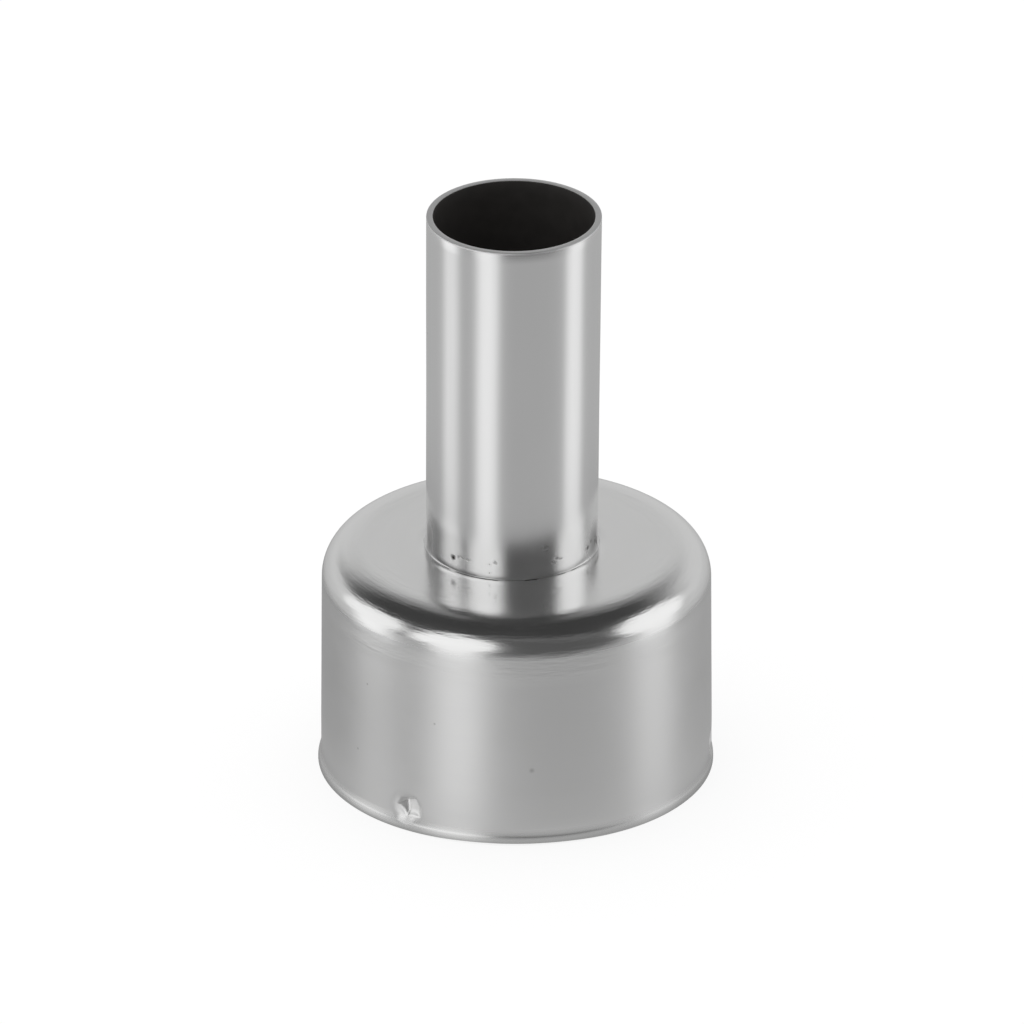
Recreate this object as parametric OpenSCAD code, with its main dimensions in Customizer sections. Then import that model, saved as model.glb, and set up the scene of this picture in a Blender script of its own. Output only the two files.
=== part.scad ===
// Hot air nozzle: a drawn steel socket cup that slips over the barrel of a hot air gun,
// with a straight outlet tube that spreads on its shoulder and is flanged under it.
// Millimetres. The rim of the cup stands on z = 0 around the origin, and the outlet points up +Z.

/* [Socket cup] */
// Inside diameter of the cup, which slips over the barrel
bore_d = 22; // [18:0.1:28]
// Sheet thickness at the rim, where a drawn wall is thickest
rim_wall = 0.4; // [0.3:0.02:0.8]
// Sheet thickness at the shoulder, thinned by the drawing
shoulder_wall = 0.3; // [0.2:0.02:0.8]
// Height of the cup, from the rim to the top of the shoulder
cup_h = 14; // [10:0.5:24]
// Reach of the outside bend along the shoulder, inwards from the wall
bend_across = 1.85; // [1:0.05:4]
// Reach of the outside bend along the wall, downwards from the shoulder
bend_down = 2.3; // [1.2:0.1:4]

/* [Rim lip] */
// How far the lip stands out beyond the wall
lip_out = 0.12; // [0.04:0.01:0.4]
// Height of the upright band at the bottom of the lip
lip_band = 0.35; // [0.2:0.05:1.2]
// Height over which the wall sweeps out into the lip
lip_sweep = 0.95; // [0.5:0.05:2]
// Rounding of both edges of the rim
rim_round = 0.12; // [0.04:0.01:0.14]

/* [Grip dimples] */
// Number of dimples around the cup
dimple_count = 3; // [1:1:6]
// Direction of the first dimple, anticlockwise from +X, in degrees
dimple_angle = 237; // [0:1:359]
// Height of the dimples above the rim
dimple_z = 1.55; // [1.2:0.05:6]
// Width of the dish that the punch draws into the outside of the wall
dish_d = 1.9; // [1.4:0.1:3]
// Depth of that dish
dish_depth = 0.16; // [0.08:0.02:0.25]
// Width over the corners of the six-sided pit that the punch leaves in the dish
pit_d = 1.3; // [0.6:0.05:1.4]
// Turn of the pit about its own axis, in degrees
pit_turn = 30; // [0:5:60]
// Lean of the punch, which makes one side of the pit steep and the side across from it gentle
pit_lean = 12; // [0:1:15]
// Direction in which the punch leans, anticlockwise from the right as seen from outside, in degrees
pit_lean_way = 42; // [0:1:359]
// Width over the corners of the floor of the pit
pit_floor_d = 0.45; // [0.2:0.05:0.6]
// Depth of the pit below the dish
pit_depth = 0.2; // [0.1:0.02:0.25]
// Width of the bump that stands into the bore behind each dish
bump_d = 1.9; // [1:0.1:3]
// Height of that bump
bump_h = 0.2; // [0.1:0.02:0.4]

/* [Outlet tube] */
// Outside diameter of the tube
tube_od = 10; // [4:0.1:12]
// Wall of the tube
tube_wall = 0.4; // [0.25:0.05:0.8]
// Length of the tube above the shoulder
tube_h = 21; // [8:0.5:40]
// Distance of the tube's axis from the cup's axis along X
tube_offset = -0.2; // [-0.5:0.05:0.5]
// Small bevel on both edges of the mouth
mouth_bevel = 0.06; // [0.02:0.01:0.1]

/* [Tube joint] */
// How far the foot of the tube spreads out on the shoulder
foot_out = 0.22; // [0.12:0.01:0.5]
// Height over which the foot spreads
foot_h = 0.5; // [0.2:0.05:1.5]
// Thickness of the edge of the foot
foot_edge = 0.05; // [0.02:0.01:0.15]
// Width of the flange that holds the tube under the shoulder
flange_w = 0.9; // [0.5:0.1:1.5]
// Gap around the tube in the hole of the shoulder
seat_gap = 0.03; // [0.01:0.01:0.1]

/* [Hidden] */

$fn = 128;
arc_steps = 14;
bore_r = bore_d / 2;
rim_r = bore_r + rim_wall;
shoulder_r = bore_r + shoulder_wall;
wall_foot_z = lip_band + lip_sweep;
bend_centre = [shoulder_r - bend_across, cup_h - bend_down];
shoulder_under_z = cup_h - shoulder_wall;
tube_r = tube_od / 2;
tube_bore_r = tube_r - tube_wall;
foot_r = tube_r + foot_out;
foot_top_z = cup_h + foot_edge + foot_h;
mouth_z = cup_h + tube_h;
dish_floor_r = rim_r - dish_depth;
pit_sides = 6;
// Length of the punch's point, as a multiple of the pit's depth, so that it clears the wall
pit_reach = 3;

// Radius of the sphere whose cap has this width and height
function cap_radius(width, height) = (width * width / 4 + height * height) / (2 * height);

// Points along an oval arc from angle a0 to angle a1, with its reach across and up
function arc(centre, reach, a0, a1) =
    [for (i = [0:arc_steps]) let (a = a0 + (a1 - a0) * i / arc_steps)
        centre + [reach.x * cos(a), reach.y * sin(a)]];

// Points along two equal tangent arcs that join two upright lines, from start to end
function sweep(start, end) =
    let (
        step = end - start,
        turn = 2 * atan(abs(step.x / step.y)),
        radius = abs(step.y) / (2 * sin(turn)),
        way = [sign(step.x), sign(step.y)],
        bow = [for (i = [0:arc_steps]) let (a = turn * i / arc_steps)
            radius * [way.x * (1 - cos(a)), way.y * sin(a)]]
    )
    concat(
        [for (p = bow) start + p],
        [for (i = [1:arc_steps]) end - bow[arc_steps - i]]
    );

// Section of the cup from its axis outwards: rim, outer wall, shoulder and bore
module cup_section() {
    lip_in_r = bore_r + lip_out;
    lip_out_r = rim_r + lip_out;
    rim_edge = [rim_round, rim_round];
    bend_outside = [bend_across, bend_down];
    bend_inside = bend_outside - [shoulder_wall, shoulder_wall];
    polygon(concat(
        arc([lip_in_r + rim_round, rim_round], rim_edge, 180, 270),
        arc([lip_out_r - rim_round, rim_round], rim_edge, 270, 360),
        sweep([lip_out_r, lip_band], [rim_r, wall_foot_z]),
        arc(bend_centre, bend_outside, 0, 90),
        [[0, cup_h], [0, shoulder_under_z]],
        arc(bend_centre, bend_inside, 90, 0),
        sweep([bore_r, wall_foot_z], [lip_in_r, lip_band])
    ));
}

// Places its children at each dimple, with +X pointing outwards
module at_dimples() {
    for (i = [0:dimple_count - 1])
        rotate([0, 0, dimple_angle + 360 * i / dimple_count])
            translate([0, 0, dimple_z])
                children();
}

// Bump that a dimple raises inside the bore, kept within the thickness of the wall
module dimple_bump() {
    bump_r = cap_radius(bump_d, bump_h);
    intersection() {
        translate([bore_r - bump_h + bump_r, 0, 0]) sphere(bump_r);
        translate([0, 0, -bump_d]) cylinder(r = bore_r + rim_wall / 2, h = 2 * bump_d);
    }
}

// Dish and leaning six-sided pit that the punch leaves on the outside
module dimple_dent() {
    dish_r = cap_radius(dish_d, dish_depth);
    lean_axis = [0, -sin(pit_lean_way), cos(pit_lean_way)];
    mouth_d = pit_floor_d + pit_reach * (pit_d - pit_floor_d);
    translate([dish_floor_r + dish_r, 0, 0]) sphere(dish_r);
    translate([dish_floor_r - pit_depth, 0, 0])
        rotate(a = pit_lean, v = lean_axis)
            rotate([0, 90, 0])
                rotate([0, 0, pit_turn])
                    cylinder(h = pit_reach * pit_depth, d1 = pit_floor_d, d2 = mouth_d, $fn = pit_sides);
}

module socket_cup() {
    color("silver")
        difference() {
            union() {
                rotate_extrude() cup_section();
                at_dimples() dimple_bump();
            }
            at_dimples() dimple_dent();
            translate([tube_offset, 0, shoulder_under_z - shoulder_wall])
                cylinder(r = tube_r + seat_gap, h = 3 * shoulder_wall);
        }
}

// Section of the tube: mouth, outer wall, spread foot, flange under the shoulder and bore
module tube_section() {
    flange_edge = tube_wall / 2;
    flange_round = [flange_edge, flange_edge];
    polygon(concat(
        [[tube_bore_r, mouth_z - mouth_bevel], [tube_bore_r + mouth_bevel, mouth_z],
         [tube_r - mouth_bevel, mouth_z], [tube_r, mouth_z - mouth_bevel]],
        arc([foot_r, foot_top_z], [foot_out, foot_h], 180, 270),
        [[foot_r, cup_h], [tube_r, cup_h], [tube_r, shoulder_under_z]],
        arc([tube_r + flange_w - flange_edge, shoulder_under_z - flange_edge], flange_round, 90, -90),
        arc([tube_r, shoulder_under_z], [tube_wall, tube_wall], 270, 180)
    ));
}

module outlet_tube() {
    color("gainsboro")
        translate([tube_offset, 0, 0])
            rotate_extrude() tube_section();
}

socket_cup();
outlet_tube();
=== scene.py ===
import math

import bmesh
import bpy
from mathutils import Matrix, Vector, noise


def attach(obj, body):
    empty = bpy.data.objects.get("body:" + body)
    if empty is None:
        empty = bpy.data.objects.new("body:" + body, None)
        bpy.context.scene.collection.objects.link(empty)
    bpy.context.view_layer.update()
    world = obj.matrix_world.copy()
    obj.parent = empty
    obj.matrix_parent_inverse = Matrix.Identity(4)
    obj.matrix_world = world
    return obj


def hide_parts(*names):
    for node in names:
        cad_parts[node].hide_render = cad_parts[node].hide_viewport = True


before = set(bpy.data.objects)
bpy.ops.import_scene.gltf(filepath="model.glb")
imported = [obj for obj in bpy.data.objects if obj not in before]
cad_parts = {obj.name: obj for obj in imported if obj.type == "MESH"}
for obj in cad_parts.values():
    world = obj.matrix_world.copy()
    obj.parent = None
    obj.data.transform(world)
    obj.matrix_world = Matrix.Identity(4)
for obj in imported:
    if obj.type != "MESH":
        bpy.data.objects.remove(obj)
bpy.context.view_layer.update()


# Socket cup
# The cup is deep-drawn from thin stainless sheet: an open skirt, a flat shoulder over a rounded
# bend and a short lip that sweeps out at the rim. Three dimples are punched in near the rim, and
# each raises a bump in the bore that grips the barrel of the hot air gun.

# Lengths are in mm and angles in degrees, unless a comment says otherwise.
MM = 0.001
CUP_H = 13.9
BORE_R = 11.0
RIM_R = 11.36
SHOULDER_R = 11.3
SHOULDER_SHEET = 0.3
# Arcs of the outside bend from the wall up to the shoulder: radius, then how steep the skin is
# where the arc starts and ends. The edge of the shoulder is slightly crowned. Then the angle of one
# step along an arc, and the fewest steps.
BEND_ARCS = ((2.1, 90, 52), (2.0, 52, 8), (4.4, 8, 0))
BEND_STEP = 3
BEND_STEPS_MIN = 3
# The lip is an upright band below a sweep. It sits a little off the axis of the wall, and the rim
# is trimmed short at the very front, which a high power of the direction picks out.
RIM_ROUND = 0.08
LIP_OUT = 0.14
LIP_BAND = 0.13
LIP_SWEEP = 0.75
LIP_SHIFT = Vector((-0.045, 0.06, 0))
RIM_LIFT = 0.12
RIM_LIFT_FOCUS = 12
# Share of the room between the two arcs of the sweep that their roundings take up.
ARC_SHARE = 0.97
# Hole for the tube.
HOLE_X = -0.27
HOLE_R = 5.0
HOLE_EDGE = 0.012

# Directions of the dimples, anticlockwise from +X, and the fine sector of the mesh at each.
DIMPLE_TURNS = (237, 357, 117)
DIMPLE_Z = 1.55
DIMPLE_ZONE_Z = 2.9
DIMPLE_REACH = 1.25
DIMPLE_SECTOR = 13
DIMPLE_STEPS = 48
PLAIN_STEPS = 82
# Dish that the punch drew in, with its middle a little off that of the dimple.
DISH_R = 0.95
DISH_SLOPE = 0.38
DISH_DEPTH = 0.2
DISH_ACROSS = -0.2
DISH_UP = -0.1
DISH_ROUND = 0.1
# Bump in the bore, and the least thickness of sheet that the pit leaves there.
BUMP_R = 0.95
BUMP_H = 0.2
SHEET_LEFT = 0.08
# The punch leant, so the floor of the pit slopes. It is deepest in this direction as seen from
# outside, anticlockwise from the right.
PIT_DEEPEST = 120
PIT_SLOPE = 0.36
PIT_MIDDLE = 0.46
PIT_EDGE = 0.04
# Sides of the pit: direction as seen from outside, distance from the middle, slope, and rounding
# where the side meets the floor. The third one is broad and gentle.
PIT_SIDES = (
    (-135, 0.82, 0.90, 0.08),
    (-72, 0.75, 0.90, 0.08),
    (-20, 1.15, 0.45, 0.10),
    (-8, 0.78, 1.30, 0.06),
    (32, 0.74, 1.20, 0.06),
    (105, 0.62, 1.80, 0.06),
    (150, 0.84, 1.60, 0.06),
)
# Slight waves in the skin: their height on the wall and on the bend, their size, where those of
# the bend are full, and the radius at which they have faded out towards the hole.
WALL_WAVE = 0.005
BEND_WAVE = 0.012
WAVE_SIZE = 4.0
BEND_WAVE_Z = CUP_H - 1
FLAT_WAVE_R = HOLE_R + 0.5
# Longest edges of the section, round the dimples and elsewhere.
OUTSIDE_PITCH = 0.05
BORE_PITCH = 0.1
PLAIN_PITCH = 0.6
# Depths that tell the outer skin from the bore in the wall and in the shoulder.
WALL_SPLIT = 0.2
SHOULDER_SPLIT = 0.1
# Faces that look inwards or down further than this belong to the inside.
INWARDS = -0.3
DOWNWARDS = -0.6
# Points closer than this are joined where two sectors meet.
MERGE_GAP = 0.0005


def linear(hex_code):
    """Linear colour of an sRGB hex value."""
    channels = [int(hex_code[i:i + 2], 16) / 255 for i in (1, 3, 5)]
    return [c / 12.92 if c <= 0.04045 else ((c + 0.055) / 1.055) ** 2.4 for c in channels] + [1]


def add(tree, kind, inputs, **settings):
    """Adds a node, sets its settings, and gives each input its value or the socket linked to it."""
    node = tree.nodes.new(kind)
    for name, value in settings.items():
        setattr(node, name, value)
    for key, value in inputs.items():
        if isinstance(value, bpy.types.NodeSocket):
            tree.links.new(value, node.inputs[key])
        else:
            node.inputs[key].default_value = value
    return node


def calc(tree, operation, *values):
    """Result of a maths node."""
    return add(tree, "ShaderNodeMath", dict(enumerate(values)), operation=operation).outputs[0]


def vector(tree, operation, *values):
    """Vector that a vector maths node gives."""
    node = add(tree, "ShaderNodeVectorMath", dict(enumerate(values)), operation=operation)
    return node.outputs["Vector"]


def length(tree, operation, *values):
    """Number that a vector maths node gives."""
    node = add(tree, "ShaderNodeVectorMath", dict(enumerate(values)), operation=operation)
    return node.outputs["Value"]


def ramp(tree, value, start, end, low, high, unit=MM):
    """Goes smoothly from low at the start to high at the end."""
    return add(tree, "ShaderNodeMapRange",
               {"Value": value, "From Min": start * unit, "From Max": end * unit,
                "To Min": low, "To Max": high}, interpolation_type="SMOOTHSTEP").outputs[0]


def blend(tree, share, first, second):
    """Colour between two others."""
    return add(tree, "ShaderNodeMix", {0: share, 6: first, 7: second}, data_type="RGBA").outputs[2]


def new_material(name):
    """Makes a material and gives it with its node tree, its shader and the place on the object."""
    material = bpy.data.materials.new(name)
    material.use_nodes = True
    tree = material.node_tree
    place = add(tree, "ShaderNodeTexCoord", {}).outputs["Object"]
    return material, tree, tree.nodes["Principled BSDF"], place


def s_bend(r0, z0, r1, z1, segments):
    """Two corners whose roundings are the equal tangent arcs between two upright lines."""
    reach = ((z1 - z0) ** 2 + (r1 - r0) ** 2) / (4 * abs(z1 - z0))
    step = math.copysign(reach, z1 - z0)
    rounding = ARC_SHARE * reach
    return [(r0, z0 + step, rounding, segments), (r1, z1 - step, rounding, segments)]


def section(corners, pitch):
    """Closed section loop in the XZ plane from corners of radius, height, rounding and segments.
    Edges longer than the pitch at their place are divided."""
    loop = bmesh.new()
    verts = [loop.verts.new((r * MM, 0, z * MM)) for r, z, _, _ in corners]
    loop.faces.new(verts)
    for vert, (_, _, rounding, segments) in zip(verts, corners):
        if rounding:
            bmesh.ops.bevel(loop, geom=[vert], offset=rounding * MM, offset_type="OFFSET",
                            affect="VERTICES", segments=segments, profile=0.5, material=-1)
    bmesh.ops.delete(loop, geom=loop.faces[:], context="FACES_ONLY")
    for edge in loop.edges[:]:
        middle = (edge.verts[0].co + edge.verts[1].co) / (2 * MM)
        cuts = int(edge.calc_length() / MM / pitch(middle.x, middle.z))
        if cuts:
            bmesh.ops.subdivide_edges(loop, edges=[edge], cuts=cuts)
    return loop


def bend(radius, height, sheet):
    """Corners along the bend from the end of the wall upwards, at a depth under the outer skin."""
    corners = [(radius, height, 0, 0)]
    for arc, start, end in BEND_ARCS:
        steps = max(BEND_STEPS_MIN, round((start - end) / BEND_STEP))
        first = math.radians(start)
        for step in range(1, steps + 1):
            steep = math.radians(start + (end - start) * step / steps)
            corners.append((radius - (arc - sheet) * (math.sin(first) - math.sin(steep)),
                            height + (arc - sheet) * (math.cos(steep) - math.cos(first)), 0, 0))
        radius, height = corners[-1][:2]
    return corners


def revolve(loop, turns, copies):
    """Spins a section loop about Z through (degrees, steps), then repeats that sector round Z."""
    edge = loop.verts[:] + loop.edges[:]
    for degrees, steps in turns:
        spun = bmesh.ops.spin(loop, geom=edge, cent=(0, 0, 0), axis=(0, 0, 1), dvec=(0, 0, 0),
                              angle=math.radians(degrees), steps=steps)
        edge = spun["geom_last"]
    sector = loop.verts[:] + loop.edges[:] + loop.faces[:]
    for copy in range(1, copies):
        made = bmesh.ops.duplicate(loop, geom=sector)["geom"]
        turn = Matrix.Rotation(2 * math.pi * copy / copies, 3, "Z")
        bmesh.ops.rotate(loop, verts=[v for v in made if isinstance(v, bmesh.types.BMVert)],
                         cent=(0, 0, 0), matrix=turn)
    bmesh.ops.remove_doubles(loop, verts=loop.verts, dist=MERGE_GAP * MM)
    bmesh.ops.recalc_face_normals(loop, faces=loop.faces)


def fade(value, start, end):
    """Smooth step from 0 at start to 1 at end."""
    t = min(max((value - start) / (end - start), 0), 1)
    return t * t * (3 - 2 * t)


def piece(name, mesh_data, node, slot, *materials):
    """Makes a smooth-shaded object that rides on the nozzle and stands for its solid."""
    mesh = bpy.data.meshes.new(name)
    mesh_data.to_mesh(mesh)
    mesh_data.free()
    mesh.shade_smooth()
    made = bpy.data.objects.new(name, mesh)
    bpy.context.scene.collection.objects.link(made)
    for material in materials:
        mesh.materials.append(material)
    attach(made, "root")
    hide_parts(node)
    return made


def cup_pitch(radius, height):
    """Longest edge of the cup's section, finer where the dimples are."""
    if height < DIMPLE_ZONE_Z:
        return OUTSIDE_PITCH if radius > BORE_R + WALL_SPLIT else BORE_PITCH
    return PLAIN_PITCH


lip_in_r = BORE_R + LIP_OUT
lip_out_r = RIM_R + LIP_OUT
wall_foot = LIP_BAND + LIP_SWEEP
under_z = CUP_H - SHOULDER_SHEET
bend_w, bend_h = bend(0, 0, 0)[-1][:2]
flat_r = SHOULDER_R + bend_w
bend_z = CUP_H - bend_h
cup = section(
    [(lip_in_r, 0, RIM_ROUND, 4), (lip_out_r, 0, RIM_ROUND, 5)]
    + s_bend(lip_out_r, LIP_BAND, RIM_R, wall_foot, 8)
    + [(RIM_R, DIMPLE_ZONE_Z, 0, 0)]
    + bend(SHOULDER_R, bend_z, 0)
    + [(HOLE_R, CUP_H, HOLE_EDGE, 2), (HOLE_R, under_z, 0, 0)]
    + bend(BORE_R, bend_z, SHOULDER_SHEET)[::-1]
    + [(BORE_R, DIMPLE_ZONE_Z, 0, 0)]
    + s_bend(BORE_R, wall_foot, lip_in_r, LIP_BAND, 6),
    cup_pitch)
first_turn = math.radians(DIMPLE_TURNS[0] - DIMPLE_SECTOR / 2)
bmesh.ops.rotate(cup, verts=cup.verts, cent=(0, 0, 0), matrix=Matrix.Rotation(first_turn, 3, "Z"))
dimples = len(DIMPLE_TURNS)
plain_sector = 360 // dimples - DIMPLE_SECTOR
revolve(cup, [(DIMPLE_SECTOR, DIMPLE_STEPS), (plain_sector, PLAIN_STEPS)], dimples)


def sloping(across, up, turn):
    """Distance from the middle of a dimple in one direction as seen from outside."""
    return across * math.cos(math.radians(turn)) + up * math.sin(math.radians(turn))


def lesser(first, second, rounding):
    """Smaller of two depths, with the edge between them rounded."""
    share = min(max(0.5 + 0.5 * (second - first) / rounding, 0), 1)
    return second + (first - second) * share - rounding * share * (1 - share)


def dimple_depth(across, up):
    """Depth of a dimple at a place on the wall: the dish that the punch drew in, or the pit."""
    spread = math.hypot(across - DISH_ACROSS, up - DISH_UP)
    dish = lesser(DISH_SLOPE * (DISH_R - spread), DISH_DEPTH, DISH_ROUND)
    dish = -lesser(-dish, 0, DISH_ROUND)
    pit = PIT_MIDDLE + PIT_SLOPE * sloping(across, up, PIT_DEEPEST)
    for turn, reach, slope, rounding in PIT_SIDES:
        pit = lesser(pit, slope * (reach - sloping(across, up, turn)), rounding)
    return max(0, -lesser(-dish, -pit, PIT_EDGE))


for vert in cup.verts:
    radius = math.hypot(vert.co.x, vert.co.y) / MM
    height = vert.co.z / MM
    outward = Vector((vert.co.x, vert.co.y, 0)).normalized()
    outside = radius > BORE_R + WALL_SPLIT or height > under_z + SHOULDER_SPLIT
    if height < DIMPLE_ZONE_Z:
        turn = math.degrees(math.atan2(vert.co.y, vert.co.x))
        for dimple in DIMPLE_TURNS:
            across = math.radians((turn - dimple + 180) % 360 - 180) * radius
            up = height - DIMPLE_Z
            if abs(across) < DIMPLE_REACH and abs(up) < DIMPLE_REACH:
                depth = dimple_depth(across, up)
                if not outside:
                    swell = max(0, 1 - (across * across + up * up) / BUMP_R ** 2) ** 2
                    depth = max(BUMP_H * swell, depth - (RIM_R - BORE_R) + SHEET_LEFT)
                vert.co -= outward * depth * MM
    vert.co += LIP_SHIFT * MM * fade(height, wall_foot, LIP_BAND)
    at_front = max(0, -outward.y) ** RIM_LIFT_FOCUS
    vert.co.z += RIM_LIFT * MM * fade(height, LIP_BAND, 0) * at_front
    if radius < flat_r and height > under_z - SHOULDER_SPLIT:
        vert.co.x += HOLE_X * MM * (flat_r - radius) / (flat_r - HOLE_R)
    if outside and height > LIP_BAND:
        wave = WALL_WAVE + (BEND_WAVE - WALL_WAVE) * fade(height, bend_z, BEND_WAVE_Z)
        wave *= fade(height, LIP_BAND, wall_foot) * fade(radius, FLAT_WAVE_R, flat_r)
        tilt = Vector((0, 0, 1)) if radius < flat_r else outward
        vert.co += tilt * wave * MM * noise.noise(vert.co / (WAVE_SIZE * MM))
for face in cup.faces:
    middle = face.calc_center_median()
    middle.z = 0
    facing = face.normal.dot(middle.normalized())
    face.material_index = int(facing < INWARDS or face.normal.z < DOWNWARDS)

# Drawn stainless sheet, polished round its axis with a fine belt: a clear grey mirror blurred to
# satin on the wall and brighter over the bend, which the drawing die has burnished. It has faint
# rings of polishing lines, a few duller smudges and some tiny dark specks.
# Polishing lines of about 0.03 mm are drawn 0.12 mm apart, so that they show, and 8 mm long.
LINE_PITCH = 0.12
LINE_LENGTH = 8.0
LINE_DEPTH = 0.0008
LINE_DULL = 0.08
# Smudges of about 2.5 mm.
SMUDGE_SIZE = 2.5
SMUDGE_DULL = 0.06
# Scuffs round the bend, about 0.3 mm wide and 2 mm long, which start at these heights and fade
# towards the middle of the shoulder.
SCUFF_WIDTH = 0.3
SCUFF_LENGTH = 2.0
SCUFF_DEPTH = 0.017
SCUFF_Z = (10.1, 10.9)
SCUFF_R = (7.8, 9.6)
SCUFF_LEFT = 0.3
# Roughness of the wall and of the bend, the heights between them, and how much clearer the rim is.
WALL_DULL = 0.30
BEND_DULL = 0.13
BEND_DULL_Z = (11.2, 12.6)
RIM_DULL = -0.1
RIM_DULL_Z = (0.6, 1.6)
# Specks: turn from the front to the right, distance from the axis, height, half width and how dark.
CUP_SPECKS = (
    (4.5, 11.34, 4.8, 0.2, 0.35),
    (-49.6, 11.33, 8.4, 0.1, 0.4),
    (-54, 11.34, 3.9, 0.1, 0.4),
    (-24.7, 11.33, 7.3, 0.1, 0.4),
)


def streaks_round(tree, ray, along, wide, long):
    """Noise in streaks round the axis, by their width and length."""
    lift = calc(tree, "MULTIPLY", along, 1 / (wide * MM))
    climb = add(tree, "ShaderNodeCombineXYZ", {"Z": lift}).outputs[0]
    rings = vector(tree, "MULTIPLY_ADD", ray, (RIM_R / long,) * 3, climb)
    return add(tree, "ShaderNodeTexNoise",
               {"Vector": rings, "Scale": 1, "Detail": 3, "Roughness": 0.6}).outputs[0]


def specks(tree, place, tone, spots):
    """Darkens a tone at small specks."""
    for turn, out, height, reach, dark in spots:
        angle = math.radians(turn)
        spot = (out * MM * math.sin(angle), -out * MM * math.cos(angle), height * MM)
        gap = length(tree, "DISTANCE", place, spot)
        mark = add(tree, "ShaderNodeMapRange", {"Value": gap, "From Min": reach * MM, "From Max": 0,
                                                "To Min": 0, "To Max": dark}).outputs[0]
        tone = blend(tree, mark, tone, linear("#5E5A56"))
    return tone


satin, tree, steel, place = new_material("satin_stainless_steel")
steel.inputs["Metallic"].default_value = 1
flat = vector(tree, "MULTIPLY", place, (1, 1, 0))
ray = vector(tree, "NORMALIZE", flat)
radius = length(tree, "LENGTH", flat)
level = add(tree, "ShaderNodeSeparateXYZ", {0: place}).outputs["Z"]
# Distance along the section, whether the skin stands or lies flat.
along = calc(tree, "SUBTRACT", level, radius)
lines = streaks_round(tree, ray, along, LINE_PITCH, LINE_LENGTH)
smudge = add(tree, "ShaderNodeTexNoise",
             {"Vector": place, "Scale": 1 / (SMUDGE_SIZE * MM), "Detail": 3}).outputs[0]
dull = ramp(tree, level, *BEND_DULL_Z, WALL_DULL, BEND_DULL)
dull = calc(tree, "MULTIPLY_ADD", lines, LINE_DULL, dull)
dull = calc(tree, "MULTIPLY_ADD", smudge, SMUDGE_DULL, dull)
dull = calc(tree, "ADD", dull, ramp(tree, level, *RIM_DULL_Z, RIM_DULL, 0))
tree.links.new(dull, steel.inputs["Roughness"])
tone = blend(tree, smudge, linear("#F0F0EF"), linear("#F5F5F5"))
tone = specks(tree, place, tone, CUP_SPECKS)
tree.links.new(tone, steel.inputs["Base Color"])
grain = add(tree, "ShaderNodeBump",
            {"Height": lines, "Strength": 1, "Distance": LINE_DEPTH * MM}).outputs[0]
scuffs = streaks_round(tree, ray, along, SCUFF_WIDTH, SCUFF_LENGTH)
worn = calc(tree, "MULTIPLY", ramp(tree, level, *SCUFF_Z, 0, 1),
            ramp(tree, radius, *SCUFF_R, SCUFF_LEFT, 1))
scuffs = calc(tree, "MULTIPLY", scuffs, worn)
grain = add(tree, "ShaderNodeBump", {"Height": scuffs, "Strength": 1,
                                     "Distance": SCUFF_DEPTH * MM, "Normal": grain}).outputs[0]
tree.links.new(grain, steel.inputs["Normal"])

# The inside of the cup as the drawing die left it: duller, with lines along the draw. They are
# 0.3 mm apart and 6 mm long.
DRAW_PITCH = 0.3
DRAW_LENGTH = 6.0
DRAW_DEPTH = 0.001
DRAW_DULL = 0.33
DRAW_DULL_MORE = 0.15


def streaks_up(tree, place, wide, long, detail):
    """Noise in upright streaks, by their width and length."""
    scale = (1 / (wide * MM), 1 / (wide * MM), 1 / (long * MM))
    drawn_out = add(tree, "ShaderNodeMapping", {"Vector": place, "Scale": scale}).outputs[0]
    return add(tree, "ShaderNodeTexNoise",
               {"Vector": drawn_out, "Scale": 1, "Detail": detail}).outputs[0]


drawn, tree, steel, place = new_material("as_drawn_stainless_steel")
steel.inputs["Metallic"].default_value = 1
streaks = streaks_up(tree, place, DRAW_PITCH, DRAW_LENGTH, 3)
dull = calc(tree, "MULTIPLY_ADD", streaks, DRAW_DULL_MORE, DRAW_DULL)
tree.links.new(dull, steel.inputs["Roughness"])
tone = blend(tree, streaks, linear("#B9B5AE"), linear("#CBC8C2"))
tree.links.new(tone, steel.inputs["Base Color"])
grain = add(tree, "ShaderNodeBump",
            {"Height": streaks, "Strength": 1, "Distance": DRAW_DEPTH * MM}).outputs[0]
tree.links.new(grain, steel.inputs["Normal"])

piece("drawn_socket_cup", cup, "socket_cup", "cup_steel", satin, drawn)


# Outlet tube
# The outlet is a length of thin stainless tube. Its foot flares a little where it sits on the
# shoulder and its inner end is flanged out below, so that it clamps the sheet. Tack welds have
# left small dark pits above the foot, and the hot air has scaled the bore dark.
TUBE_R = 5.0
TUBE_BORE_R = 4.6
MOUTH_Z = 34.9
MOUTH_EDGE = 0.03
# The tube is a little narrower at its foot and wider at its mouth, and it leans to the right.
FOOT_IN = 0.03
MOUTH_OUT = 0.10
MOUTH_LEAN = 0.13
# The foot spreads in a cove, which is tiny at the front and back and larger at the very sides. Its
# edge is uneven, and undercut where it stands out most, so that a dark seam shows there.
FOOT_OUT = 0.01
FOOT_OUT_SIDE = 0.12
FOOT_H = 0.05
FOOT_H_SIDE = 0.55
FOOT_SIDE_FOCUS = 8
FOOT_EDGE = 0.014
FOOT_UNDERCUT = 0.014
UNDERCUT_GAIN = 5
UNDERCUT_DROP = 4.2
UNEVEN = 0.25
UNEVEN_SIZE = 0.8
FLANGE_W = 0.9
FLANGE_ROUND = 0.19
# Mesh: steps and sectors round the tube, the heights that are fine, and the longest edges there
# and elsewhere.
TUBE_STEPS = 384
TUBE_SECTORS = 12
FOOT_ZONE_Z = CUP_H + 0.4
PIT_ZONE_Z = 16.4
FOOT_PITCH = 0.025
PIT_PITCH = 0.06
TUBE_PITCH = 0.7
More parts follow.
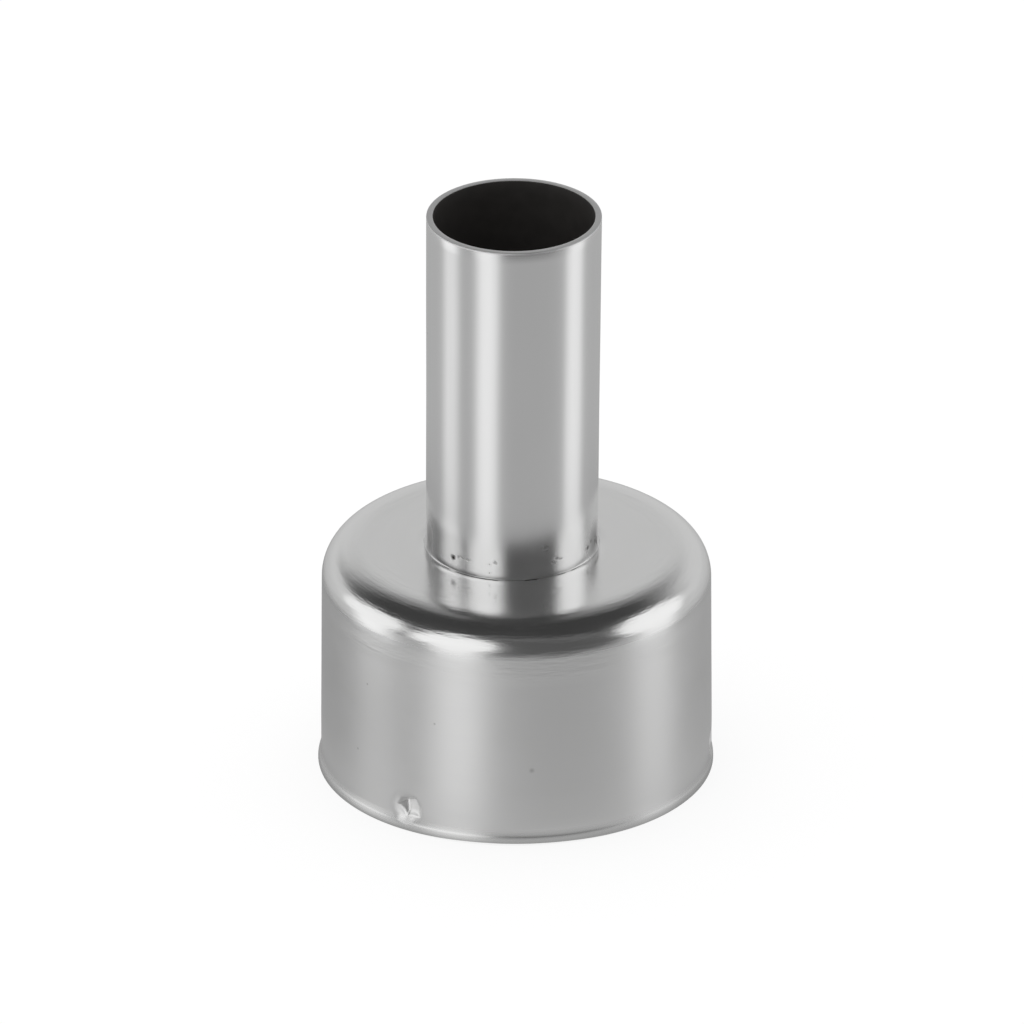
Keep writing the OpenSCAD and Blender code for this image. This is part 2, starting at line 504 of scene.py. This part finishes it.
# Depths under the outer skin and above the bore that still belong to them, and a hair's breadth.
OUTSIDE_SLACK = 0.01
WAVE_SLACK = 0.1
BORE_SLACK = 0.02
HAIR = 0.001
# Slight waves: their height, their size round and along the tube, and where they start.
TUBE_WAVE = 0.014
WAVE_ACROSS = 2.5
WAVE_ALONG = 7.0
WAVE_START_Z = CUP_H + 1
WAVE_FULL_Z = CUP_H + 4
# Weld pits: turn from the front to the right, height above the shoulder, half width, half height
# and how dark it is.
WELD_PITS = (
    (-43, 0.82, 0.15, 0.17, 1.0),
    (-38, 1.02, 0.07, 0.08, 0.45),
    (-35, 0.98, 0.06, 0.07, 0.4),
    (-31, 0.98, 0.22, 0.08, 0.2),
    (-11, 1.12, 0.12, 0.10, 0.4),
    (-15, 0.98, 0.10, 0.06, 0.2),
    (-15, 0.40, 0.08, 0.08, 0.2),
    (23, 1.92, 0.12, 0.12, 0.35),
    (31, 1.06, 0.12, 0.06, 0.5),
    (34, 0.98, 0.14, 0.05, 0.45),
    (29, 0.84, 0.08, 0.08, 0.25),
    (62, 0.80, 0.16, 0.15, 0.85),
    (67, 1.02, 0.14, 0.15, 0.7),
    (76, 0.72, 0.16, 0.34, 0.9),
    (81, 0.50, 0.16, 0.36, 0.9),
)
WELD_PIT_DEPTH = 0.02
# Darker patches at both sides of the foot, in the same terms.
DARK_FOOT_SIDES = ((-75, 0.9, 0.6, 1.1, 0.42), (73, 0.9, 0.9, 1.1, 0.5))
# Where a pit or a darker patch ends and where it is full, as shares of its half width, and how
# ragged the pits are, with the size of the tatters.
PIT_FADE = (1.5, 0.3)
SIDE_PATCH_FADE = (1.5, 0.2)
RAGGED = 0.6
RAGGED_SIZE = 0.12


def tube_pitch(radius, height):
    """Longest edge of the tube's section, finer along the foot."""
    if radius < TUBE_R - OUTSIDE_SLACK or not CUP_H < height < PIT_ZONE_Z:
        return TUBE_PITCH
    return FOOT_PITCH if height < FOOT_ZONE_Z else PIT_PITCH


foot_r = TUBE_R + FOOT_OUT + FOOT_OUT_SIDE
flange_r = TUBE_R + FLANGE_W
tube_wall = TUBE_R - TUBE_BORE_R
flange_z = under_z - tube_wall
tube = section(
    [(TUBE_BORE_R, MOUTH_Z, 2 * MOUTH_EDGE, 3), (TUBE_R, MOUTH_Z, MOUTH_EDGE, 3),
     (TUBE_R, PIT_ZONE_Z, 0, 0),
     (TUBE_R, FOOT_ZONE_Z, 0, 0),
     (foot_r, CUP_H + FOOT_EDGE, 0, 0), (foot_r, CUP_H, 0, 0),
     (TUBE_R, CUP_H, 0, 0),
     (TUBE_R, under_z, 0, 0),
     (flange_r, under_z, FLANGE_ROUND, 4), (flange_r, flange_z, FLANGE_ROUND, 4),
     (TUBE_BORE_R, flange_z, tube_wall, 6)],
    tube_pitch)
revolve(tube, [(360 // TUBE_SECTORS, TUBE_STEPS // TUBE_SECTORS)], TUBE_SECTORS)
for face in tube.faces:
    middle = face.calc_center_median() / MM
    face.material_index = int(math.hypot(middle.x, middle.y) < TUBE_BORE_R + BORE_SLACK)


def foot_shape(outward, height, uneven):
    """Distance by which the foot stands out from the tube at a height above the shoulder."""
    side = outward.x ** FOOT_SIDE_FOCUS
    reach = FOOT_H + FOOT_H_SIDE * side
    out = (FOOT_OUT + FOOT_OUT_SIDE * side) * uneven
    if height < FOOT_EDGE:
        undercut = FOOT_UNDERCUT * max(0, UNDERCUT_GAIN * uneven - UNDERCUT_DROP)
        return out - undercut * (1 - height / FOOT_EDGE)
    t = min((height - FOOT_EDGE) / reach, 1)
    return out * (1 - math.sqrt(1 - (1 - t) ** 2))


def mark_spread(turn, height, mark):
    """Distance from the middle of a weld pit or darker patch, as a share of its half sizes."""
    mark_turn, mark_z, half_w, half_h, _ = mark
    across = math.radians(turn - mark_turn) * TUBE_R / half_w
    return math.hypot(across, (height - CUP_H - mark_z) / half_h)


weld_pits_and_dark_sides = tube.verts.layers.float.new("weld_pits_and_dark_sides")
for vert in tube.verts:
    height = vert.co.z / MM
    outward = Vector((vert.co.x, vert.co.y, 0)).normalized()
    radius = math.hypot(vert.co.x, vert.co.y) / MM
    up_tube = max(0, (height - CUP_H) / (MOUTH_Z - CUP_H))
    shift = MOUTH_OUT * up_tube - FOOT_IN
    in_zone = CUP_H - HAIR < height < PIT_ZONE_Z and radius > TUBE_R - OUTSIDE_SLACK
    if in_zone and max(height - CUP_H, radius - TUBE_R) > HAIR:
        uneven = 1 + UNEVEN * noise.noise(outward * TUBE_R / UNEVEN_SIZE)
        shift += TUBE_R - radius + foot_shape(outward, height - CUP_H, uneven)
    if in_zone:
        turn = math.degrees(math.atan2(vert.co.x, -vert.co.y))
        ragged = 1 + RAGGED * noise.noise(vert.co / (RAGGED_SIZE * MM))
        for pit in WELD_PITS:
            spread = mark_spread(turn, height, pit) * ragged
            vert[weld_pits_and_dark_sides] = max(vert[weld_pits_and_dark_sides], pit[-1] * fade(spread, *PIT_FADE))
        shift -= WELD_PIT_DEPTH * vert[weld_pits_and_dark_sides]
        for side_patch in DARK_FOOT_SIDES:
            spread = mark_spread(turn, height, side_patch)
            vert[weld_pits_and_dark_sides] = max(vert[weld_pits_and_dark_sides], side_patch[-1] * fade(spread, *SIDE_PATCH_FADE))
    if radius > TUBE_R - WAVE_SLACK:
        ripple = Vector((outward.x * TUBE_R / WAVE_ACROSS, outward.y * TUBE_R / WAVE_ACROSS,
                         height / WAVE_ALONG))
        shift += TUBE_WAVE * fade(height, WAVE_START_Z, WAVE_FULL_Z) * noise.noise(ripple)
    vert.co += outward * shift * MM
    vert.co.x += (HOLE_X + MOUTH_LEAN * up_tube) * MM

# Stainless tube, polished lengthwise: a satin mirror with faint lines along it, duller on the cut
# edge of the mouth, brown-black pits where the welds have burned it, and darker patches at both
# sides of the foot. The polishing lines are drawn 0.15 mm apart and 12 mm long.
TUBE_LINE_PITCH = 0.15
TUBE_LINE_LENGTH = 12.0
TUBE_LINE_DEPTH = 0.00015
TUBE_LINE_DULL = 0.05
TUBE_DULL = 0.22
# The cut edge is dull from the first depth below the mouth to the second.
CUT_DULL = 0.55
CUT_START = 0.12
CUT_FULL = 0.04
PIT_AND_SIDE_DULL = 0.3
TUBE_SPECKS = (
    (83, 5.08, 20.4, 0.16, 0.7),
    (-81, 5.28, 33.0, 0.12, 0.6),
    (-80, 5.26, 27.8, 0.12, 0.5),
)
bright, tree, steel, place = new_material("polished_stainless_tube")
steel.inputs["Metallic"].default_value = 1
level = add(tree, "ShaderNodeSeparateXYZ", {0: place}).outputs["Z"]
pitted_and_dark_sides = add(tree, "ShaderNodeAttribute", {}, attribute_name="weld_pits_and_dark_sides").outputs["Fac"]
lines = streaks_up(tree, place, TUBE_LINE_PITCH, TUBE_LINE_LENGTH, 2)
dull = add(tree, "ShaderNodeMapRange",
           {"Value": level, "From Min": (MOUTH_Z - CUT_START) * MM,
            "From Max": (MOUTH_Z - CUT_FULL) * MM,
            "To Min": TUBE_DULL, "To Max": CUT_DULL}).outputs[0]
dull = calc(tree, "MULTIPLY_ADD", lines, TUBE_LINE_DULL, dull)
dull = calc(tree, "MULTIPLY_ADD", pitted_and_dark_sides, PIT_AND_SIDE_DULL, dull)
tree.links.new(dull, steel.inputs["Roughness"])
# The weld pits and the darker patches at both sides of the foot are blended to the same
# brown-black.
tone = blend(tree, pitted_and_dark_sides, linear("#F3F3F3"), linear("#3A3633"))
tone = specks(tree, place, tone, TUBE_SPECKS)
tree.links.new(tone, steel.inputs["Base Color"])
grain = add(tree, "ShaderNodeBump",
            {"Height": lines, "Strength": 1, "Distance": TUBE_LINE_DEPTH * MM}).outputs[0]
tree.links.new(grain, steel.inputs["Normal"])

# Heat scale in the bore: a dull, sooty oxide film with a coarse grain of flecks of about 0.8 mm.
FLECK_SIZE = 0.8
SCALE_DULL = 0.6
FLECK_DULL = 0.2
scale, tree, film, place = new_material("heat_scale")
flecks = add(tree, "ShaderNodeTexNoise",
             {"Vector": place, "Scale": 1 / (FLECK_SIZE * MM), "Detail": 4}).outputs[0]
tone = blend(tree, flecks, linear("#262423"), linear("#383634"))
tree.links.new(tone, film.inputs["Base Color"])
dull = calc(tree, "MULTIPLY_ADD", flecks, FLECK_DULL, SCALE_DULL)
tree.links.new(dull, film.inputs["Roughness"])

piece("flanged_outlet_tube", tube, "outlet_tube", "tube_steel", bright, scale)


# Floor
# A plain white table top under the nozzle, which keeps its soft shadow. The steel looks through it
# to the studio's table below the horizon, darker at the rim and in the shade behind and to the left
# of the cup, and it sees more of the paper itself close to the nozzle.

# Half the width of the floor in metres.
FLOOR_HALF = 2.5
# Dark ring at the rim: where it starts and ends, and what it leaves of the light.
CONTACT_R = (11.3, 12.7)
CONTACT_DARK = 0.65
# Shade: its depth from front to back and to the left, and the distance within which it lies.
SHADE_Y = (-24, 2)
SHADE_DEPTH = 0.24
LEFT_X = (-8, -22)
LEFT_SHADE = 0.12
SHADE_R = (26, 50)
# Share of plain white that the camera sees over the shadow.
SHADOW_LIFT = 0.85
# Glow of the paper as the steel sees it, full up to this distance from the axis and then falling
# with its square.
PAPER_GLOW = 0.6
PAPER_REACH = 9.8
WHITE = (1, 1, 1, 1)
ground = bmesh.new()
bmesh.ops.create_grid(ground, x_segments=1, y_segments=1, size=FLOOR_HALF)
mesh = bpy.data.meshes.new("floor")
ground.to_mesh(mesh)
ground.free()
floor = bpy.data.objects.new("floor", mesh)
bpy.context.scene.collection.objects.link(floor)
paper, tree, sheet, place = new_material("white_paper")
sheet.inputs["Base Color"].default_value = linear("#F6F6F6")
sheet.inputs["Roughness"].default_value = 1
sheet.inputs["Specular IOR Level"].default_value = 0
reach = length(tree, "LENGTH", place)
part = add(tree, "ShaderNodeSeparateXYZ", {0: place}).outputs
contact = ramp(tree, reach, *CONTACT_R, CONTACT_DARK, 1)
shade = calc(tree, "ADD", ramp(tree, part["Y"], *SHADE_Y, 0, SHADE_DEPTH),
             ramp(tree, part["X"], *LEFT_X, 0, LEFT_SHADE))
shade = calc(tree, "MULTIPLY", shade, ramp(tree, reach, *SHADE_R, 1, 0))
lit = calc(tree, "MULTIPLY", calc(tree, "SUBTRACT", 1.0, shade), contact)
clear = add(tree, "ShaderNodeBsdfTransparent", {"Color": lit}).outputs[0]
dim = calc(tree, "MULTIPLY", lit, PAPER_GLOW)
glow = add(tree, "ShaderNodeEmission", {"Color": WHITE, "Strength": dim}).outputs[0]
close = calc(tree, "DIVIDE", PAPER_REACH * MM, reach)
close = add(tree, "ShaderNodeMath", {0: close, 1: close},
            operation="MULTIPLY", use_clamp=True).outputs[0]
clear = add(tree, "ShaderNodeMixShader", {0: close, 1: clear, 2: glow}).outputs[0]
seen = add(tree, "ShaderNodeLightPath", {}).outputs
white = add(tree, "ShaderNodeEmission", {"Color": WHITE, "Strength": 1}).outputs[0]
lifted = calc(tree, "MULTIPLY", seen["Is Camera Ray"], SHADOW_LIFT)
shown = add(tree, "ShaderNodeMixShader", {0: lifted, 1: sheet.outputs[0], 2: white}).outputs[0]
shown = add(tree, "ShaderNodeMixShader",
            {0: seen["Is Glossy Ray"], 1: shown, 2: clear}).outputs[0]
tree.links.new(shown, tree.nodes["Material Output"].inputs["Surface"])
mesh.materials.append(paper)


# Studio
# Three soft boxes stand round the front and sides of a satin table, before a grey backdrop and
# under a dark ceiling. The table carries a bright streak below each box. Only the steel sees the
# room: the camera sees plain white behind the nozzle.

# Soft boxes: direction from the front to the right at the horizon, lean, height, half width, half
# height and brightness; then direction, half width, reach below the horizon and brightness of the
# streak. The last row is a pale card, which has no streak.
SOFT_BOXES = (
    (-98, 0.35, 11.0, 24, 22.0, 0.95, -91, 18, 30, 1.01),
    (-39, 0.08, 15.0, 27, 27.5, 0.98, -35, 18, 55, 0.95),
    (89, 0.00, 17.0, 28, 24.0, 0.97, 89, 19, 40, 0.93),
    (122, -2.60, 40.0, 24, 13.0, 0.13, 0, 1, 0, 0),
)
BOX_EDGE = 0.1
# A streak fades between these shares of its half width, and over this angle at its near end.
STREAK_FADE = (1.5, 0.4)
STREAK_END = 8
# The table before the nozzle and at its sides: brightness close by and at the horizon, the heights
# between them, and the directions between front and sides.
FRONT_TABLE = (0.445, 0.11)
FRONT_TABLE_RISE = (-32, -2)
SIDE_TABLE = (0.43, 0.56)
SIDE_TABLE_RISE = (-26, -2)
TABLE_SIDES = (40, 85)
HORIZON = (-0.5, 0.5)
# The backdrop reaches further round on the right, and its lower part further round on both sides.
# Each part has the directions from the front and the heights between which it fades.
BACKDROP = 0.61
BACKDROP_SHIFT = 13
BACKDROP_SIDES = (108, 150)
BACKDROP_TOP = (22, 58)
LOW_SIDES = (98, 125)
LOW_TOP = (33, 12)
FRONT_DARK = 0.09
CEILING = 0.045
# A card overhead, behind the nozzle.
TOP_CARD = 0.21
TOP_CARD_RISE = 50
TOP_CARD_HALF = (32, 24)
TOP_CARD_EDGE = 0.5

world = bpy.data.worlds.new("studio")
bpy.context.scene.world = world
world.use_nodes = True
tree = world.node_tree
tree.nodes.clear()
way = add(tree, "ShaderNodeTexCoord", {}).outputs["Generated"]
part = add(tree, "ShaderNodeSeparateXYZ", {0: way}).outputs
turn = calc(tree, "ARCTAN2", part["X"], calc(tree, "MULTIPLY", part["Y"], -1.0))
rise = calc(tree, "ARCSINE", part["Z"])
away = calc(tree, "ABSOLUTE", turn)


def soft_step(value, start, end, low, high):
    """Goes smoothly from low at the start angle to high at the end angle."""
    return ramp(tree, value, start, end, low, high, math.radians(1))


def join(first, second, operation):
    """Joins two values of the studio by a sum, a product, a difference or the larger of both."""
    return calc(tree, operation, first, second)


def oval(across, up, half_w, half_h, light, edge):
    """Soft-edged oval of light, by the angles from its middle and its half sizes."""
    wide = join(across, math.radians(half_w), "DIVIDE")
    high = join(up, math.radians(half_h), "DIVIDE")
    spread = add(tree, "ShaderNodeCombineXYZ", {"X": wide, "Y": high}).outputs[0]
    return ramp(tree, length(tree, "LENGTH", spread), 1 + edge, 1 - edge, 0, light, 1)


shifted = calc(tree, "ABSOLUTE", join(turn, math.radians(BACKDROP_SHIFT), "ADD"))
sky = soft_step(shifted, *BACKDROP_SIDES, FRONT_DARK, BACKDROP)
sky = join(sky, soft_step(rise, *BACKDROP_TOP, 1, 0), "MULTIPLY")
low = join(soft_step(away, *LOW_SIDES, 0, BACKDROP), soft_step(rise, *LOW_TOP, 0, 1), "MULTIPLY")
sky = join(join(sky, low, "MAXIMUM"), CEILING, "MAXIMUM")
behind = join(math.pi, away, "SUBTRACT")
above = join(rise, math.radians(TOP_CARD_RISE), "SUBTRACT")
sky = join(sky, oval(behind, above, *TOP_CARD_HALF, TOP_CARD, TOP_CARD_EDGE), "MAXIMUM")
front = soft_step(rise, *FRONT_TABLE_RISE, *FRONT_TABLE)
side = soft_step(rise, *SIDE_TABLE_RISE, *SIDE_TABLE)
aside = soft_step(away, *TABLE_SIDES, 0, 1)
table = add(tree, "ShaderNodeMix", {0: aside, 2: front, 3: side}).outputs[0]
for (box_turn, lean, box_rise, half_w, half_h, light,
     streak_turn, streak_w, streak_reach, streak_light) in SOFT_BOXES:
    aside = join(turn, math.radians(box_turn), "SUBTRACT")
    leaning = calc(tree, "MULTIPLY_ADD", rise, -lean, aside)
    above = join(rise, math.radians(box_rise), "SUBTRACT")
    sky = join(sky, oval(leaning, above, half_w, half_h, light, BOX_EDGE), "MAXIMUM")
    if streak_light:
        aside = join(turn, math.radians(streak_turn), "SUBTRACT")
        aside = calc(tree, "ABSOLUTE", aside)
        outer, inner = [streak_w * share for share in STREAK_FADE]
        streak = soft_step(aside, outer, inner, 0, streak_light)
        ending = soft_step(rise, -streak_reach - STREAK_END, -streak_reach + STREAK_END, 0, 1)
        table = join(table, join(streak, ending, "MULTIPLY"), "MAXIMUM")
over = join(sky, soft_step(rise, *HORIZON, 0, 1), "MULTIPLY")
under = join(table, soft_step(rise, *HORIZON, 1, 0), "MULTIPLY")
room = join(over, under, "ADD")
studio = add(tree, "ShaderNodeBackground", {"Color": WHITE, "Strength": room}).outputs[0]
white = add(tree, "ShaderNodeBackground", {"Color": WHITE, "Strength": 1}).outputs[0]
seen = add(tree, "ShaderNodeLightPath", {}).outputs["Is Camera Ray"]
shown = add(tree, "ShaderNodeMixShader", {0: seen, 1: studio, 2: white}).outputs[0]
add(tree, "ShaderNodeOutputWorld", {"Surface": shown})

# A wide lamp overhead lights the floor, and the steel doesn't mirror it. Metres and watts.
LAMP_PLACE = (-0.1, 0.1, 0.8)
LAMP_SIZE = 1.6
LAMP_POWER = 12
lamp = bpy.data.lights.new("overhead", "AREA")
lamp.shape = "DISK"
lamp.size = LAMP_SIZE
lamp.energy = LAMP_POWER
overhead = bpy.data.objects.new("overhead", lamp)
bpy.context.scene.collection.objects.link(overhead)
overhead.location = LAMP_PLACE
overhead.visible_glossy = False


# Camera
# A long lens, 26 degrees above the table, on the side where one dimple shows to the left. The
# distance to the nozzle is in metres.
CAMERA_RISE = math.radians(26.2)
CAMERA_REACH = 1.487
AIM = Vector((-0.26, 0, 15.876)) * MM
FOCAL_LENGTH = 902
SENSOR_WIDTH = 36
lens = bpy.data.cameras.new("camera")
lens.lens = FOCAL_LENGTH
lens.sensor_width = SENSOR_WIDTH
camera = bpy.data.objects.new("camera", lens)
bpy.context.scene.collection.objects.link(camera)
sight = Vector((0, -math.cos(CAMERA_RISE), math.sin(CAMERA_RISE)))
camera.location = AIM + CAMERA_REACH * sight
camera.rotation_euler = (math.pi / 2 - CAMERA_RISE, 0, 0)
bpy.context.scene.camera = camera

bpy.context.scene.view_settings.view_transform = "Standard"
